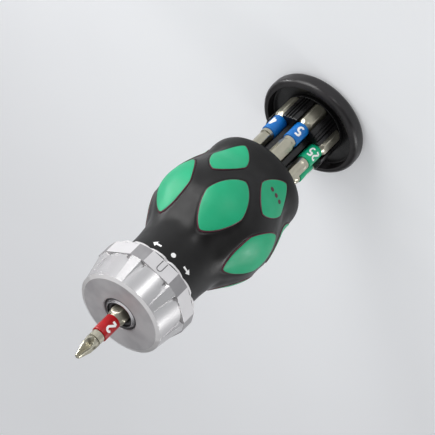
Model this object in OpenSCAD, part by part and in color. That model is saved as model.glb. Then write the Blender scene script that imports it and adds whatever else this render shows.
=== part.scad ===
// Stubby ratcheting screwdriver. It stands on the flat end of its cap, +Z towards the bit's tip,
// with the bit magazine drawn out of the handle and the selector ring at its middle mark.

/* [Handle] */
// Length of the handle from its open mouth to its front face
handle_len = 61.5; // [59:0.5:66]
// Diameter of the handle at its belly
belly_d = 46.2; // [44:0.2:49]
// Thickness of the soft outer layer
grip_t = 2; // [1.7:0.1:2.3]
// Depth of the pads under the outer layer's surface
pad_sink = 1.1; // [0.9:0.1:1.4]
// How far the pads stand proud of the outer layer
pad_proud = 0.35; // [0.2:0.05:0.6]
// Pads in each of the two rows
pad_count = 6; // [5:1:6]
// Length of a pad in the front row
front_pad_len = 24; // [20:0.5:25]
// Width of a pad in the front row
front_pad_w = 16; // [12:0.5:17]
// Length of a pad in the rear row
rear_pad_len = 19; // [15:0.5:20]
// Width of a pad in the rear row
rear_pad_w = 14; // [11:0.5:15]
// Radius of the well that takes the magazine
well_r = 13.4; // [13.3:0.05:13.8]
// Thickness of the partition between the well and the ratchet
partition_t = 2.5; // [2:0.1:3]
// Depth of the ratchet's chamber from the front face to the partition
chamber_depth = 16.5; // [15.5:0.1:17.5]

/* [Magazine] */
// How far the magazine travels from drawn out to shut
magazine_travel = 32.6; // [32.3:0.1:34]
// Diameter of the cap over its soft rim
cap_d = 41.4; // [40:0.2:44]
// Height of the cap
cap_h = 7.2; // [6.6:0.1:8]
// Depth of the cap's recess for the handle's mouth
recess_depth = 3.6; // [3:0.1:3.8]
// Radius of the cap's recess
recess_r = 17.9; // [17.8:0.1:18.4]
// Radius of the circle on which the bits stand
bit_circle_r = 9.5; // [9.3:0.05:9.6]
// Number of bit pockets
pocket_count = 6; // [6:1:6]
// Height of the blocks that hold the bits' shanks
block_h = 12; // [10:0.5:13]
// Radius of the magazine's middle post
post_r = 5.3; // [4.6:0.1:5.5]
// Length of the guide head on the post
guide_h = 4; // [3.4:0.1:5]

/* [Selector ring] */
// Diameter across the corners of the ring's collar
collar_d = 38.2; // [37.4:0.2:40]
// Diameter of the ring's front edge
front_edge_d = 33.2; // [32.4:0.2:34]
// Length of the ring
ring_len = 18.2; // [17.4:0.1:20]
// Length of the ring's collar with its lip
collar_len = 7.6; // [7:0.1:8.2]
// Radius of the hole in the ring's face
face_hole_r = 6.7; // [6.6:0.05:7]
// Ribs round the ring
rib_count = 7; // [6:1:8]
// Turn of the selector from its middle mark to each end mark, in degrees
selector_turn = 27.5; // [25:0.5:28]

/* [Ratchet] */
// Teeth round the ratchet wheel
tooth_count = 60; // [60:12:60]
// Radius over the teeth
tooth_tip_r = 7.5; // [7.4:0.05:7.6]
// Depth of the teeth
tooth_depth = 0.5; // [0.45:0.01:0.5]
// Length of the ratchet wheel
wheel_h = 6; // [5.5:0.1:6.5]
// Radius of the ratchet housing, which the ring turns on
housing_r = 13.5; // [13.5:0.05:13.7]
// Radius of the spindle's front barrel
barrel_r = 6.5; // [6.4:0.05:6.52]
// Radius of the spindle's rear journal
journal_r = 4; // [3.6:0.1:4.2]

/* [Bits] */
// Width of a bit's shank across its flats
bit_af = 6.35; // [6.2:0.05:6.35]
// Length of a bit
bit_len = 31; // [30:0.5:32]
// Length of a bit's hexagon shank
shank_len = 11.2; // [10.5:0.1:12]
// Length of a bit's coloured band
band_len = 7.8; // [7:0.1:8.5]
// Diameter of a bit's coloured band
band_d = 5.8; // [5.4:0.1:6.2]

/* [Hidden] */
$fn = 64;
// Fits
cut = 1;                 // overrun of every cut
seat_gap = 0.05;         // between pieces that are fixed to each other
run_gap = 0.08;          // between a shaft and its hole
face_gap = 0.1;          // between faces that turn or slide on each other
ring_gap = 0.3;          // between the handle and the ring

// Cap
cap_floor_z = cap_h - recess_depth;
cap_r = cap_d / 2;
recess_step = 0.6;
crest_step = 0.4;
cap_disc_r = recess_r - recess_step;
cap_crest_r = recess_r + crest_step;
cap_edge_r = cap_r - cap_crest_r;
cap_dish_r = 13;
cap_dish_depth = 0.6;
rim_lift = 0.45;
stub_r = 6;
stub_h = 1.6;

// Handle
mouth_nest = 0.3;
mouth_z = cap_h - mouth_nest + magazine_travel;
front_z = mouth_z + handle_len;
belly_r = belly_d / 2;
screw_r = 1.1;
screw_circle_r = 10.9;
screw_wall = 0.6;
handle_neck_r = screw_circle_r + screw_r + screw_wall + grip_t;
// The handle's outline: share of the length from the mouth, share of the swell from neck to belly
handle_shape_shares = [
    [0, 0.34], [0.011, 0.448], [0.032, 0.527], [0.068, 0.56], [0.126, 0.546], [0.18, 0.592],
    [0.271, 0.791], [0.361, 0.946], [0.442, 1], [0.514, 0.929], [0.587, 0.734], [0.659, 0.457],
    [0.722, 0.228], [0.785, 0.082], [0.839, 0.022], [0.9, 0.006], [1, 0]
];
curve_steps = 3;
front_pad_share = 0.528;
rear_pad_share = 0.239;
pad_corner_power = 1.45;
pad_points = 28;

// Magazine
first_pocket_turn = 274;
base_t = 1.4;
block_wall_share = 0.488;
block_r = bit_circle_r + block_wall_share * bit_af;
bit_seat_z = cap_floor_z + base_t;
bit_gap = 0.08;
groove_w = 0.7;
groove_depth = 0.45;
grooves_per_block = 3;
groove_turn = 5.5;
guide_r = well_r - face_gap;
guide_screw_r = 1.5;
guide_screw_len = 9;
guide_head_r = 2.7;
guide_head_h = 1.7;
guide_socket_share = 1.4;
o_ring_r = 0.8;
lip_gap = 0.35;
lip_r = block_r + lip_gap;
lip_t = 1.2;
pull_room = 0.9;
guide_z = mouth_z + lip_t + pull_room;

// Well, and the chamber ahead of it
chamber_z = front_z - chamber_depth;
chamber_r = 7;
well_top_z = chamber_z - partition_t;

// Ring
ring_z = front_z + ring_gap;
face_z = ring_z + ring_len;
collar_r = collar_d / 2;
front_edge_r = front_edge_d / 2;
face_band = 1.4;
face_r = front_edge_r - face_band;
face_bevel = 0.9;
face_wall = 3.2;
lip_len = 1.7;
lip_step = 1.5;
ring_lip_r = collar_r - lip_step;
collar_z = ring_z + lip_len;
shoulder_z = ring_z + collar_len;
big_flat_half = 17.3;
small_flat_half = 180 / rib_count - big_flat_half;
panel_step = 0.1;
panel_rear_r = collar_r * cos(big_flat_half) - panel_step;
rib_front_w = 2.2;
rib_rear_w = 3.9;
mark_w = 2;
mark_len = 3.8;
mark_line = 0.35;
mark_depth = 0.3;
mark_place_share = 0.4;
cavity_r = housing_r + run_gap;
notch_r = 0.75;

// Spindle
barrel_sink = 0.6;
barrel_end_z = face_z - barrel_sink;
socket_gap = 0.06;
socket_af = bit_af + 2 * socket_gap;
socket_depth = 7.5;
socket_bevel = 0.9;
magnet_r = 2.8;
magnet_h = 4;
end_room = 1;
spindle_end_z = chamber_z + end_room;
clip_groove_depth = 0.6;
clip_t = 0.7;
clip_place = 1.2;
clip_step = 1.6;
clip_opening_turn = 70;
clip_z = spindle_end_z + clip_place;
clip_r = journal_r + clip_step;
washer_t = 0.8;
washer_step = 2.4;
washer_r = journal_r + washer_step;
washer_z = clip_z + clip_t + face_gap;
wheel_step = 3.2;
wheel_z = front_z + wheel_step;

// Housing
housing_back_z = washer_z + washer_t + face_gap;
stem_r = 9;
bush_t = 1;
bush_shoulder = 0.9;
cover_room = 2.2;
housing_top_z = wheel_z + wheel_h + cover_room;
cover_t = 2;
cover_top_z = housing_top_z + cover_t;
front_bush_t = 0.9;
tooth_room = 0.4;
wheel_room_r = tooth_tip_r + tooth_room;
screw_head_r = 1.9;
screw_turns = [20, 160, 228, 312];
screw_grip = 6.5;
screw_socket_share = 1.2;
screw_socket_depth_share = 0.35;
snap_place = 1.6;
snap_z = ring_z + snap_place;
snap_h = 0.8;
snap_depth = 0.5;
snap_opening_turn = 30;

// Pawl, which lies opposite the index mark
pawl_turn = 90;
pawl_pin_r = 1;
pawl_pivot_r = 9.9;
pawl_rock_share = 1 / 11;
pawl_room = 0.3;
pawl_end_turn = 38;
nose_from_turn = 29.2;
nose_to_turn = 36.6;
pawl_relief = 0.7;
pawl_inner_r = tooth_tip_r + pawl_relief;
plunger_r = 0.9;
plunger_tip_z = wheel_z + wheel_h / 2;
plunger_centre_r = 12.9;
plunger_len = 2.8;
spring_room = 1.5;
pawl_gap = 0.06;
pocket_outer_r = 12.75;

// Detent leaf, on the index mark's side
leaf_t = 0.35;
leaf_half = 5;
leaf_h = 4;
leaf_seat_r = 11.8;
leaf_rise = 0.95;
leaf_foot_share = 0.16;
bump_r = 0.55;

// Bits
shank_bevel = 0.7;
bit_neck_r = 2.1;
band_seat = 0.15;
bit_collar_len = 1.5;
band_z = shank_len + band_seat;
collar_end_z = band_z + band_len + bit_collar_len;
bit_collar_r = 2.5;
band_t = band_d / 2 - bit_neck_r - seat_gap;
cross_tip_r = 0.85;
flute_turn = 8.7;
flute_place_share = 0.8;
cross_taper_share = 0.35;
hex_large_af = 5;
hex_small_af = 4;
lobe_large_r = 2.45;
lobe_small_r = 1.95;
lobe_count = 6;
lobe_cut_share = 0.3;
lobe_place_share = 1.12;

// Colours
BLACK = [0.11, 0.11, 0.12];
SOFT_BLACK = [0.2, 0.2, 0.21];
GREEN = [0.1, 0.68, 0.46];
SILVER = [0.82, 0.82, 0.83];
STEEL = [0.5, 0.5, 0.5];
BIT_STEEL = [0.66, 0.64, 0.57];
BRASS = [0.75, 0.6, 0.3];
RED = [0.78, 0.1, 0.13];
BLUE = [0.1, 0.4, 0.75];

// Smooth curve through points, with slopes taken from the neighbours
function slope(p, i) =
    let (a = max(i - 1, 0), b = min(i + 1, len(p) - 1))
    (p[b][1] - p[a][1]) / (p[b][0] - p[a][0]);
function blend(p, i, t) =
    let (h = p[i + 1][0] - p[i][0])
    p[i][1] * (1 + 2 * t) * (1 - t) * (1 - t) + h * slope(p, i) * t * (1 - t) * (1 - t)
    + p[i + 1][1] * t * t * (3 - 2 * t) - h * slope(p, i + 1) * t * t * (1 - t);
function reversed(p) = [for (i = [len(p) - 1:-1:0]) p[i]];

// The handle's outline as radius and height, drawn in by an inset
function handle_curve(inset) =
    let (p = handle_shape_shares, swell = belly_r - handle_neck_r)
    concat(
        [for (i = [0:len(p) - 2], j = [0:curve_steps - 1])
            let (t = j / curve_steps, share = p[i][0] + t * (p[i + 1][0] - p[i][0]))
            [handle_neck_r + swell * blend(p, i, t) - inset, mouth_z + share * handle_len]],
        [[handle_neck_r + swell * p[len(p) - 1][1] - inset, front_z]]
    );

module turned(points) rotate_extrude($fn = 96) polygon(points);

module tube(r_in, r_out, z, h) translate([0, 0, z]) difference() {
    cylinder(r = r_out, h = h);
    translate([0, 0, -cut]) cylinder(r = r_in, h = h + 2 * cut);
}

module rod(r, z, h) translate([0, 0, z]) cylinder(r = r, h = h);

module hexagon_rod(af, z, h) translate([0, 0, z]) cylinder(d = af / cos(30), h = h, $fn = 6);

// A layer of the handle between two insets
module handle_layer(outer_inset, inner_inset)
    turned(concat(handle_curve(outer_inset), reversed(handle_curve(inner_inset))));

// Pads: two staggered rows of round-cornered diamonds
function pad_outline(l, w) = [
    for (i = [0:pad_points - 1])
    let (a = 360 * i / pad_points, c = cos(a), s = sin(a), q = 2 / pad_corner_power)
    [w / 2 * sign(c) * pow(abs(c), q), l / 2 * sign(s) * pow(abs(s), q)]
];

module pad_prisms(l, w, share, turn) {
    for (i = [0:pad_count - 1])
        rotate([0, 0, turn + 360 * i / pad_count])
            translate([0, 0, mouth_z + share * handle_len])
                rotate([90, 0, 90])
                    linear_extrude(belly_r + cut) polygon(pad_outline(l, w));
}

module front_pad_prisms(grow)
    pad_prisms(front_pad_len + 2 * grow, front_pad_w + 2 * grow, front_pad_share, 270);

module rear_pad_prisms(grow)
    pad_prisms(rear_pad_len + 2 * grow, rear_pad_w + 2 * grow, rear_pad_share,
               270 + 180 / pad_count);

module handle_grip() {
    color(BLACK) difference() {
        handle_layer(0, grip_t);
        intersection() {
            handle_layer(-pad_proud - cut, pad_sink);
            union() {
                front_pad_prisms(seat_gap);
                rear_pad_prisms(seat_gap);
            }
        }
    }
}

module grip_pads_front() {
    color(GREEN) intersection() {
        handle_layer(-pad_proud, pad_sink - seat_gap);
        front_pad_prisms(0);
    }
}

module grip_pads_rear() {
    color(GREEN) intersection() {
        handle_layer(-pad_proud, pad_sink - seat_gap);
        rear_pad_prisms(0);
    }
}

module screw_places() {
    for (turn = screw_turns)
        rotate([0, 0, turn]) translate([screw_circle_r, 0, 0]) children();
}

module handle_core() {
    color(SOFT_BLACK) difference() {
        turned(concat([[0, mouth_z]], handle_curve(grip_t + seat_gap), [[0, front_z]]));
        rod(lip_r, mouth_z - cut, lip_t + 2 * cut);
        rod(well_r, mouth_z + lip_t, well_top_z - mouth_z - lip_t);
        rod(chamber_r, chamber_z, front_z - chamber_z + cut);
        rod(stem_r + seat_gap, housing_back_z - face_gap, front_z - housing_back_z + face_gap + cut);
        screw_places()
            rod(screw_r + seat_gap, front_z - screw_grip - face_gap, screw_grip + cut + face_gap);
    }
}

// A sector of a ring, centred on the X axis
module sector(r_in, r_out, half_turn, z, h) {
    reach = r_out / cos(half_turn) + cut;
    intersection() {
        tube(r_in, r_out, z, h);
        translate([0, 0, z - cut]) linear_extrude(h + 2 * cut) polygon([
            [0, 0],
            reach * [cos(half_turn), -sin(half_turn)],
            [reach, 0],
            reach * [cos(half_turn), sin(half_turn)]
        ]);
    }
}

module ratchet_housing() {
    color(STEEL) difference() {
        union() {
            rod(stem_r, housing_back_z, front_z - housing_back_z + cut);
            rod(housing_r, front_z, housing_top_z - front_z);
        }
        rod(journal_r + bush_t + seat_gap, housing_back_z - cut,
            wheel_z - bush_shoulder - housing_back_z + cut);
        rod(journal_r + face_gap, wheel_z - bush_shoulder - cut, bush_shoulder + cut);
        rod(wheel_room_r, wheel_z - face_gap, housing_top_z - wheel_z + face_gap + cut);
        rotate([0, 0, pawl_turn]) {
            sector(wheel_room_r - cut, pocket_outer_r, pawl_end_turn + 4,
                   wheel_z - face_gap, housing_top_z - wheel_z + face_gap + cut);
            sector(pocket_outer_r - cut, housing_r + cut, selector_turn + 5.5,
                   plunger_tip_z - plunger_r - pawl_room, 2 * (plunger_r + pawl_room));
            translate([pawl_pivot_r, 0, 0])
                rod(pawl_pin_r + seat_gap / 5, front_z + cut, wheel_z - front_z);
        }
        rotate([0, 0, -90])
            translate([leaf_seat_r - seat_gap, -leaf_half - pawl_room,
                       plunger_tip_z - leaf_h / 2 - pawl_room])
                cube([housing_r, 2 * (leaf_half + pawl_room), leaf_h + 2 * pawl_room]);
        difference() {
            rod(housing_r + cut, snap_z, snap_h);
            rod(housing_r - snap_depth, snap_z - cut, snap_h + 2 * cut);
        }
        screw_places() rod(screw_r + seat_gap, front_z - cut, housing_top_z - front_z + 2 * cut);
    }
}

module housing_cover() {
    color(STEEL) difference() {
        rod(housing_r, housing_top_z, cover_t);
        rod(barrel_r + front_bush_t + seat_gap, housing_top_z - cut, cover_t + 2 * cut);
        rotate([0, 0, pawl_turn]) translate([pawl_pivot_r, 0, 0])
            rod(pawl_pin_r + seat_gap / 5, housing_top_z - cut, cover_t / 2 + cut);
        screw_places() {
            rod(screw_r + seat_gap, housing_top_z - cut, cover_t + 2 * cut);
            rod(screw_head_r + seat_gap, cover_top_z - cover_t / 2, cover_t);
        }
    }
}

module housing_screws() {
    color(SILVER) screw_places() difference() {
        union() {
            rod(screw_r, front_z - screw_grip, cover_top_z - front_z + screw_grip - seat_gap);
            rod(screw_head_r, cover_top_z - cover_t / 2 + seat_gap, cover_t / 2 - 2 * seat_gap);
        }
        hexagon_rod(screw_r * screw_socket_share,
                    cover_top_z - cover_t * screw_socket_depth_share, cover_t);
    }
}

module rear_bush() {
    color(BRASS)
        tube(journal_r + run_gap, journal_r + bush_t, housing_back_z,
             wheel_z - bush_shoulder - housing_back_z - seat_gap);
}

module front_bush() {
    color(BRASS)
        tube(barrel_r + run_gap, barrel_r + front_bush_t, housing_top_z + seat_gap, cover_t + cut);
}

module thrust_washer() {
    color(BRASS) tube(journal_r + run_gap, washer_r, washer_z, washer_t);
}

module pawl_pin() {
    color(SILVER) rotate([0, 0, pawl_turn]) translate([pawl_pivot_r, 0, 0])
        rod(pawl_pin_r, front_z + cut + seat_gap,
            housing_top_z + cover_t / 2 - front_z - cut - 2 * seat_gap);
}

// A bowed leaf whose bump lies in the ring's middle notch
module detent_spring() {
    r0 = leaf_seat_r;
    r1 = r0 + leaf_rise;
    foot = leaf_half * leaf_foot_share;
    color(SILVER) rotate([0, 0, 180]) translate([0, 0, plunger_tip_z - leaf_h / 2])
        linear_extrude(leaf_h) union() {
            polygon([
                [-leaf_half, r0], [-leaf_half + foot, r0], [0, r1], [leaf_half - foot, r0],
                [leaf_half, r0], [leaf_half, r0 + leaf_t], [leaf_half - foot, r0 + leaf_t],
                [0, r1 + leaf_t], [-leaf_half + foot, r0 + leaf_t], [-leaf_half, r0 + leaf_t]
            ]);
            translate([0, r1 + leaf_t]) circle(r = bump_r, $fn = 24);
        }
}

// A ring with a gap, sprung into grooves
module split_ring(r_in, r_out, z, h, gap_turn) difference() {
    tube(r_in, r_out, z, h);
    sector(r_in - cut, r_out + cut, gap_turn / 2, z - cut, h + 2 * cut);
}

module selector_snap_ring() {
    color(SILVER)
        split_ring(housing_r - snap_depth + seat_gap, housing_r + snap_depth,
                   snap_z + seat_gap, snap_h - 2 * seat_gap, snap_opening_turn);
}

// Ratchet wheel outline, with a tooth's tip on the pawl's centre line
function wheel_outline(gap) = [
    for (i = [0:2 * tooth_count - 1])
    let (a = 180 * i / tooth_count, r = tooth_tip_r + gap - (i % 2) * tooth_depth)
    r * [cos(a), sin(a)]
];

module spindle() {
    magnet_z = barrel_end_z - socket_depth - magnet_h;
    color(STEEL) difference() {
        union() {
            rod(journal_r, spindle_end_z, wheel_z - spindle_end_z + cut);
            rotate([0, 0, pawl_turn]) translate([0, 0, wheel_z])
                linear_extrude(wheel_h) polygon(wheel_outline(0));
            turned([
                [0, wheel_z + wheel_h - cut], [barrel_r, wheel_z + wheel_h - cut],
                [barrel_r, barrel_end_z - face_bevel / 2],
                [barrel_r - face_bevel / 2, barrel_end_z], [0, barrel_end_z]
            ]);
        }
        hexagon_rod(socket_af, barrel_end_z - socket_depth, socket_depth + cut);
        rod(magnet_r + seat_gap, magnet_z, magnet_h + cut);
        translate([0, 0, barrel_end_z - socket_bevel])
            cylinder(r1 = socket_af / 2, r2 = socket_af / 2 + socket_bevel + cut, h = socket_bevel + cut);
        difference() {
            rod(journal_r + cut, clip_z - seat_gap, clip_t + 2 * seat_gap);
            rod(journal_r - clip_groove_depth, clip_z - cut, clip_t + 2 * cut);
        }
    }
}

module spindle_clip() {
    color(SILVER)
        split_ring(journal_r - clip_groove_depth + seat_gap, clip_r, clip_z, clip_t, clip_opening_turn);
}

module socket_magnet() {
    color(STEEL)
        rod(magnet_r, barrel_end_z - socket_depth - magnet_h + seat_gap, magnet_h - 2 * seat_gap);
}

// Back of the pawl: the path of the plunger's tip, seen from the rocking pawl, less a gap
function rocked(p, turn) =
    let (d = p - [pawl_pivot_r, 0])
    [pawl_pivot_r + d[0] * cos(turn) - d[1] * sin(turn), d[0] * sin(turn) + d[1] * cos(turn)];
function pawl_back(turn) =
    let (
        place = rocked(plunger_centre_r * [cos(turn), sin(turn)], -turn * pawl_rock_share),
        out = turn * (1 - pawl_rock_share)
    )
    place - (plunger_r + pawl_gap) * [cos(out), sin(out)];
function polar(r, a) = r * [cos(a), sin(a)];
function arc(r, from, to, steps) = [for (i = [0:steps]) polar(r, from + (to - from) * i / steps)];

module rocker_pawl() {
    back_turn = selector_turn + 6;
    rock = selector_turn * pawl_rock_share;
    nose_r = tooth_tip_r - tooth_depth;
    color(SILVER) rotate([0, 0, pawl_turn])
        translate([0, 0, wheel_z + face_gap]) difference() {
            linear_extrude(wheel_h - 2 * face_gap) polygon(concat(
                [for (i = [-12:12]) pawl_back(back_turn * i / 12)],
                [polar(norm(pawl_back(back_turn)), pawl_end_turn)],
                arc(nose_r, nose_to_turn, nose_from_turn, 4),
                arc(pawl_inner_r, nose_from_turn - 3, 3 - nose_from_turn, 12),
                arc(nose_r, -nose_from_turn, -nose_to_turn, 4),
                [polar(norm(pawl_back(back_turn)), -pawl_end_turn)]
            ));
            for (side = [-1, 1])
                translate([pawl_pivot_r, 0, -cut]) rotate([0, 0, -side * rock])
                    translate([-pawl_pivot_r, 0, 0])
                        linear_extrude(wheel_h + 2 * cut) polygon(wheel_outline(pawl_gap));
            translate([pawl_pivot_r, 0, 0]) rod(pawl_pin_r + run_gap / 2, -cut, wheel_h + 2 * cut);
        }
}

// Ring: a turned body with tapering ribs, behind them a collar with large and small flats
function collar_outline() = [
    for (i = [0:rib_count - 1], side = [-1, 1])
    let (a = 360 * i / rib_count + side * big_flat_half)
    collar_r * [cos(a), sin(a)]
];

module rib() {
    depth = collar_r - panel_rear_r + cut;
    intersection() {
        rotate([90, 0, 90]) linear_extrude(collar_r) polygon([
            [-rib_rear_w / 2, shoulder_z - cut], [rib_rear_w / 2, shoulder_z - cut],
            [rib_front_w / 2, face_z - face_bevel], [-rib_front_w / 2, face_z - face_bevel]
        ]);
        translate([0, collar_r, 0]) rotate([90, 0, 0]) linear_extrude(2 * collar_r) polygon([
            [front_edge_r - depth, shoulder_z - cut],
            [collar_r * cos(small_flat_half), shoulder_z - cut],
            [front_edge_r, face_z - face_bevel], [front_edge_r - depth, face_z - face_bevel]
        ]);
    }
}

module index_mark() {
    translate([collar_r * cos(big_flat_half) - mark_depth, 0, shoulder_z - mark_place_share * mark_len])
        rotate([90, 0, 90]) linear_extrude(collar_r) difference() {
            union() {
                circle(d = mark_w);
                translate([-mark_w / 2, -mark_len]) square([mark_w, mark_len]);
            }
            union() {
                circle(d = mark_w - 2 * mark_line);
                translate([mark_line - mark_w / 2, -mark_len - cut])
                    square([mark_w - 2 * mark_line, mark_len + cut]);
            }
        }
}

module ring_body() {
    turned([
        [0, collar_z], [panel_rear_r, collar_z], [panel_rear_r, shoulder_z],
        [front_edge_r, face_z - face_bevel], [face_r, face_z], [0, face_z]
    ]);
    rod(ring_lip_r, ring_z, lip_len + cut);
    for (i = [0:rib_count - 1])
        rotate([0, 0, 270 + 360 * (i + 0.5) / rib_count]) rib();
    rotate([0, 0, 270]) intersection() {
        translate([0, 0, ring_z]) linear_extrude(collar_len) polygon(collar_outline());
        turned([
            [0, ring_z + lip_len / 2], [ring_lip_r, ring_z + lip_len / 2], [collar_r, collar_z + cut],
            [collar_r, shoulder_z], [0, shoulder_z]
        ]);
    }
}

module selector_ring() {
    color(SILVER) difference() {
        ring_body();
        rod(cavity_r, ring_z - cut, face_z - face_wall - ring_z + cut);
        rod(face_hole_r, face_z - face_wall - cut, face_wall + 2 * cut);
        rod(housing_r + snap_depth + run_gap, snap_z - seat_gap, snap_h + 2 * seat_gap);
        for (side = [-1:1])
            rotate([0, 0, 270 + side * selector_turn])
                translate([cavity_r - run_gap, 0, 0])
                    rod(notch_r, plunger_tip_z - leaf_h, 2 * leaf_h);
        rotate([0, 0, pawl_turn]) translate([0, 0, plunger_tip_z]) rotate([0, 90, 0])
            rod(plunger_r + seat_gap, barrel_r + cut,
                plunger_centre_r + plunger_len + spring_room - barrel_r - cut);
        rotate([0, 0, 270]) index_mark();
    }
}

module selector_plunger() {
    color(SILVER) rotate([0, 0, pawl_turn]) translate([0, 0, plunger_tip_z]) rotate([0, 90, 0])
        union() {
            rod(plunger_r, plunger_centre_r, plunger_len);
            translate([0, 0, plunger_centre_r]) sphere(r = plunger_r, $fn = 32);
        }
}

module plunger_spring() {
    color(STEEL) rotate([0, 0, pawl_turn]) translate([0, 0, plunger_tip_z]) rotate([0, 90, 0])
        tube(plunger_r / 3, plunger_r - seat_gap, plunger_centre_r + plunger_len + seat_gap,
             spring_room - 2 * seat_gap);
}

// Cap, with a shallow dish in its end
module magazine_cap() {
    color(BLACK) difference() {
        rod(cap_disc_r, 0, cap_floor_z);
        rod(cap_dish_r, -cut, cap_dish_depth + cut);
        rod(stub_r + seat_gap, cap_floor_z - stub_h - seat_gap, stub_h + cut);
    }
}

module cap_grip() {
    color(SOFT_BLACK) turned(concat(
        [[cap_disc_r + seat_gap, rim_lift]],
        [for (p = arc(cap_edge_r, -90, 0, 8)) p + [cap_crest_r, rim_lift + cap_edge_r]],
        [for (p = arc(cap_edge_r, 0, 90, 8)) p + [cap_crest_r, cap_h - cap_edge_r]],
        [[recess_r, cap_h - cap_crest_r + recess_r], [recess_r, cap_floor_z + seat_gap],
         [cap_disc_r + seat_gap, cap_floor_z + seat_gap]]
    ));
}

module pocket_places(list) {
    for (i = list)
        rotate([0, 0, first_pocket_turn + 360 * i / pocket_count])
            translate([bit_circle_r, 0, 0]) children();
}

// Half a hexagon round the bit's shank, open outwards
module bit_pocket() {
    half = bit_af / 2 + bit_gap;
    corner = half / cos(30);
    from = (corner - half) / tan(30);
    translate([0, 0, bit_seat_z]) linear_extrude(block_h + cut) polygon([
        [-half, -corner / 2], [0, -corner], [from, -half], [bit_af, -half],
        [bit_af, half], [from, half], [0, corner], [-half, corner / 2]
    ]);
}

module magazine_core() {
    block_top_z = bit_seat_z + block_h;
    color(BLACK) difference() {
        union() {
            rod(stub_r, cap_floor_z - stub_h, stub_h + cut);
            rotate([0, 0, first_pocket_turn])
                rod(block_r, cap_floor_z + seat_gap, block_top_z - cap_floor_z);
            rod(post_r, cap_floor_z, guide_z - cap_floor_z);
        }
        pocket_places([0:pocket_count - 1]) bit_pocket();
        for (i = [0:pocket_count - 1], j = [0:grooves_per_block - 1])
            rotate([0, 0, first_pocket_turn + 360 * (i + 0.5) / pocket_count
                    + groove_turn * (j - (grooves_per_block - 1) / 2)])
                translate([block_r - groove_depth, -groove_w / 2, bit_seat_z + base_t])
                    cube([cut + groove_depth, groove_w, block_h + cut]);
        rod(guide_screw_r + seat_gap, guide_z - guide_screw_len + guide_h, guide_screw_len);
    }
}

module magazine_guide() {
    groove_z = guide_z + guide_h / 2;
    color(SOFT_BLACK) difference() {
        rod(guide_r, guide_z + seat_gap, guide_h - seat_gap);
        difference() {
            rod(guide_r + cut, groove_z - o_ring_r, 2 * o_ring_r);
            rod(guide_r - 2 * o_ring_r, groove_z - o_ring_r - cut, 2 * (o_ring_r + cut));
        }
        rod(guide_screw_r + seat_gap, guide_z - cut, guide_h + 2 * cut);
        rod(guide_head_r + seat_gap, guide_z + guide_h - guide_head_h, guide_head_h + cut);
    }
}

module guide_o_ring() {
    color(BLACK) translate([0, 0, guide_z + guide_h / 2])
        rotate_extrude($fn = 96) translate([guide_r - o_ring_r, 0])
            circle(r = o_ring_r - seat_gap / 2, $fn = 24);
}

module guide_screw() {
    color(SILVER) difference() {
        union() {
            rod(guide_screw_r, guide_z + guide_h - guide_screw_len + seat_gap,
                guide_screw_len - 2 * seat_gap);
            rod(guide_head_r, guide_z + guide_h - guide_head_h + seat_gap, guide_head_h - 2 * seat_gap);
        }
        hexagon_rod(guide_screw_r * guide_socket_share, guide_z + guide_h - guide_head_h / 2, guide_head_h);
    }
}

// Bits. Each stands on the height zero, its blade upwards
module bit_shank() {
    r = bit_af / 2 / cos(30);
    intersection() {
        rotate([0, 0, 30]) hexagon_rod(bit_af, 0, shank_len);
        turned([
            [0, 0], [r - shank_bevel, 0], [r, shank_bevel], [r, shank_len - 2 * shank_bevel],
            [bit_collar_r + shank_bevel / 2, shank_len], [0, shank_len]
        ]);
    }
    rod(bit_neck_r, shank_len - cut, collar_end_z - shank_len + cut);
    rod(bit_collar_r, band_z + band_len + seat_gap, collar_end_z - band_z - band_len - seat_gap);
}

module hex_bit(af) {
    bit_shank();
    r = af / 2 / cos(30);
    intersection() {
        rotate([0, 0, 30]) hexagon_rod(af, collar_end_z - cut, bit_len - collar_end_z + cut);
        turned([
            [0, collar_end_z - cut], [bit_collar_r, collar_end_z - cut], [bit_collar_r, collar_end_z],
            [max(r, bit_collar_r), collar_end_z + shank_bevel], [r, bit_len - shank_bevel / 2],
            [r - shank_bevel / 2, bit_len], [0, bit_len]
        ]);
    }
}

module lobe_bit(r) {
    bit_shank();
    difference() {
        rod(r, collar_end_z - cut, bit_len - collar_end_z + cut);
        for (i = [0:lobe_count - 1])
            rotate([0, 0, 360 * i / lobe_count]) translate([r * lobe_place_share, 0, 0])
                rod(r * lobe_cut_share, collar_end_z + shank_bevel, bit_len);
    }
}

module cross_bit() {
    flute_z = collar_end_z + shank_bevel;
    bit_shank();
    difference() {
        turned([
            [0, collar_end_z - cut], [bit_collar_r, collar_end_z - cut],
            [bit_collar_r, collar_end_z + (bit_len - collar_end_z) * cross_taper_share],
            [cross_tip_r, bit_len - shank_bevel / 2], [cross_tip_r / 2, bit_len], [0, bit_len]
        ]);
        for (i = [0:3])
            rotate([0, 0, 90 * i]) translate([bit_collar_r * flute_place_share, 0, flute_z])
                rotate([0, -flute_turn, 0]) rotate([0, 0, -45])
                    cube([bit_collar_r * 2, bit_collar_r * 2, bit_len]);
    }
}

module bit_band() {
    tube(bit_neck_r + seat_gap, bit_neck_r + seat_gap + band_t, band_z, band_len);
}

module in_pocket(i) pocket_places([i]) translate([0, 0, bit_seat_z + seat_gap]) children();

module in_socket()
    translate([0, 0, barrel_end_z - socket_depth + seat_gap]) children();

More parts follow.
